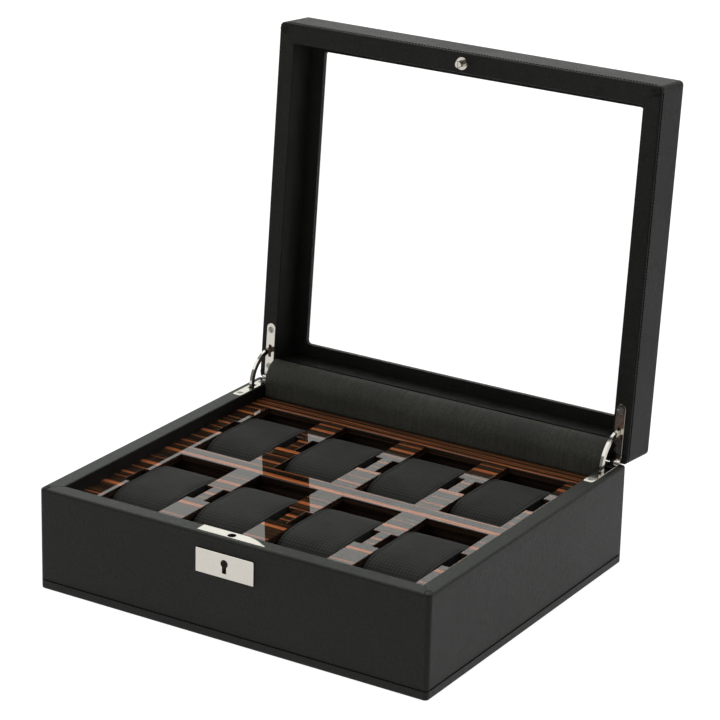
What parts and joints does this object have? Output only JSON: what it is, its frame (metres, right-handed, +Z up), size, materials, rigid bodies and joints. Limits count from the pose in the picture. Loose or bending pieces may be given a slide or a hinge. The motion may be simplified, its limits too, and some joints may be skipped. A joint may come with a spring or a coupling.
{
  "type": "watch display box",
  "caption": "Lockable leatherette box with a deep glass window lid on quadrant hinges, a veneered deck and lift-out watch cushions.",
  "frame": {"origin": "middle of the base's underside, on the surface it stands on", "axes": "+X to the right seen from the front, +Y to the back where the hinges are, +Z up; the front with the lock faces -Y; shown with the lid open"},
  "size_m": [0.33, 0.3498, 0.3656],
  "materials": {
    "board": "fibreboard, covered",
    "leatherette": "fine pebbled grain, satin",
    "lined_board": "black lined board",
    "lining": "short velvet pile",
    "felt": "felt",
    "foam": "open-cell foam",
    "veneer": "striped ebony veneer, high-gloss lacquer",
    "glass": "clear",
    "seal": "soft black strip",
    "steel": "plain",
    "nickel": "polished nickel plate",
    "cushion_cloth": "fine woven texture over foam"
  },
  "bodies": {
    "base": {"base_wall_front": "board", "base_wall_right": "board", "base_wall_rear": "board", "base_wall_left": "board", "base_floor": "board", "underside_felt": "felt", "base_cover": "leatherette", "cushion_bed_foam": "foam", "well_lining": "lining", "well_liner_left": "lined_board", "well_liner_right": "lined_board", "well_liner_front": "lined_board", "well_liner_rear": "lined_board", "divider_long": "lined_board", "divider_cross_1": "lined_board", "divider_cross_2": "lined_board", "divider_cross_3": "lined_board", "deck_panel": "veneer", "escutcheon": "nickel", "lock_face_plate": "nickel", "lock_case": "steel", "hinge_base_leaf_left": "nickel", "hinge_base_leaf_right": "nickel", "hinge_pin_left": "steel", "hinge_pin_right": "steel", "hinge_base_screws": "nickel", "hinge_gusset": "leatherette"},
    "lid": {"lid_wall_front": "board", "lid_wall_right": "board", "lid_wall_rear": "board", "lid_wall_left": "board", "lid_top_frame": "board", "lid_cover": "leatherette", "glass_seal": "seal", "window_glass": "glass", "glass_bead": "leatherette", "hinge_lid_leaf_left": "nickel", "hinge_lid_leaf_right": "nickel", "hinge_lid_screws": "nickel", "striker_stud": "nickel"},
    "stay_left": {"stay_arm_left": "nickel", "stay_stop_pins_left": "steel"},
    "stay_right": {"stay_arm_right": "nickel", "stay_stop_pins_right": "steel"},
    "lock_rotor": {"lock_rotor": "steel"},
    "lock_bolt": {"lock_bolt": "steel"},
    "cushion_front_1": {"cushion_front_1": "cushion_cloth"},
    "cushion_front_2": {"cushion_front_2": "cushion_cloth"},
    "cushion_front_3": {"cushion_front_3": "cushion_cloth"},
    "cushion_front_4": {"cushion_front_4": "cushion_cloth"},
    "cushion_rear_1": {"cushion_rear_1": "cushion_cloth"},
    "cushion_rear_2": {"cushion_rear_2": "cushion_cloth"},
    "cushion_rear_3": {"cushion_rear_3": "cushion_cloth"},
    "cushion_rear_4": {"cushion_rear_4": "cushion_cloth"}
  },
  "joints": [
    {"name": "lid_hinge", "type": "hinge", "parent": "base", "child": "lid", "pos_m": [0, 0.143, 0.0797], "axis": [1, 0, 0], "range_deg": [0, 94.6], "deforming": ["hinge_gusset"]},
    {"name": "stay_left_pivot", "type": "hinge", "parent": "base", "child": "stay_left", "pos_m": [-0.1564, 0.143, 0.0797], "axis": [1, 0, 0], "range_deg": [0, 47.3]},
    {"name": "stay_right_pivot", "type": "hinge", "parent": "base", "child": "stay_right", "pos_m": [0.1564, 0.143, 0.0797], "axis": [1, 0, 0], "range_deg": [0, 47.3]},
    {"name": "bolt_slide", "type": "slide", "parent": "base", "child": "lock_bolt", "axis": [-1, 0, 0], "range_m": [0, 0.004]},
    {"name": "lock_turn", "type": "hinge", "parent": "base", "child": "lock_rotor", "pos_m": [-0.0015, -0.1358, 0.061], "axis": [0, -1, 0], "range_deg": [0, 90]},
    {"name": "cushion_front_1_lift", "type": "slide", "parent": "base", "child": "cushion_front_1", "axis": [0, 0, -1], "range_m": [-0.08, 0]},
    {"name": "cushion_front_2_lift", "type": "slide", "parent": "base", "child": "cushion_front_2", "axis": [0, 0, -1], "range_m": [-0.08, 0]},
    {"name": "cushion_front_3_lift", "type": "slide", "parent": "base", "child": "cushion_front_3", "axis": [0, 0, -1], "range_m": [-0.08, 0]},
    {"name": "cushion_front_4_lift", "type": "slide", "parent": "base", "child": "cushion_front_4", "axis": [0, 0, -1], "range_m": [-0.08, 0]},
    {"name": "cushion_rear_1_lift", "type": "slide", "parent": "base", "child": "cushion_rear_1", "axis": [0, 0, -1], "range_m": [-0.08, 0]},
    {"name": "cushion_rear_2_lift", "type": "slide", "parent": "base", "child": "cushion_rear_2", "axis": [0, 0, -1], "range_m": [-0.08, 0]},
    {"name": "cushion_rear_3_lift", "type": "slide", "parent": "base", "child": "cushion_rear_3", "axis": [0, 0, -1], "range_m": [-0.08, 0]},
    {"name": "cushion_rear_4_lift", "type": "slide", "parent": "base", "child": "cushion_rear_4", "axis": [0, 0, -1], "range_m": [-0.08, 0]}
  ],
  "couplings": [
    {"joint": "stay_left_pivot", "follows": "lid_hinge", "ratio": 0.5},
    {"joint": "stay_right_pivot", "follows": "lid_hinge", "ratio": 0.5},
    {"joint": "lock_turn", "follows": "bolt_slide", "rad_per_m": 392.69}
  ]
}
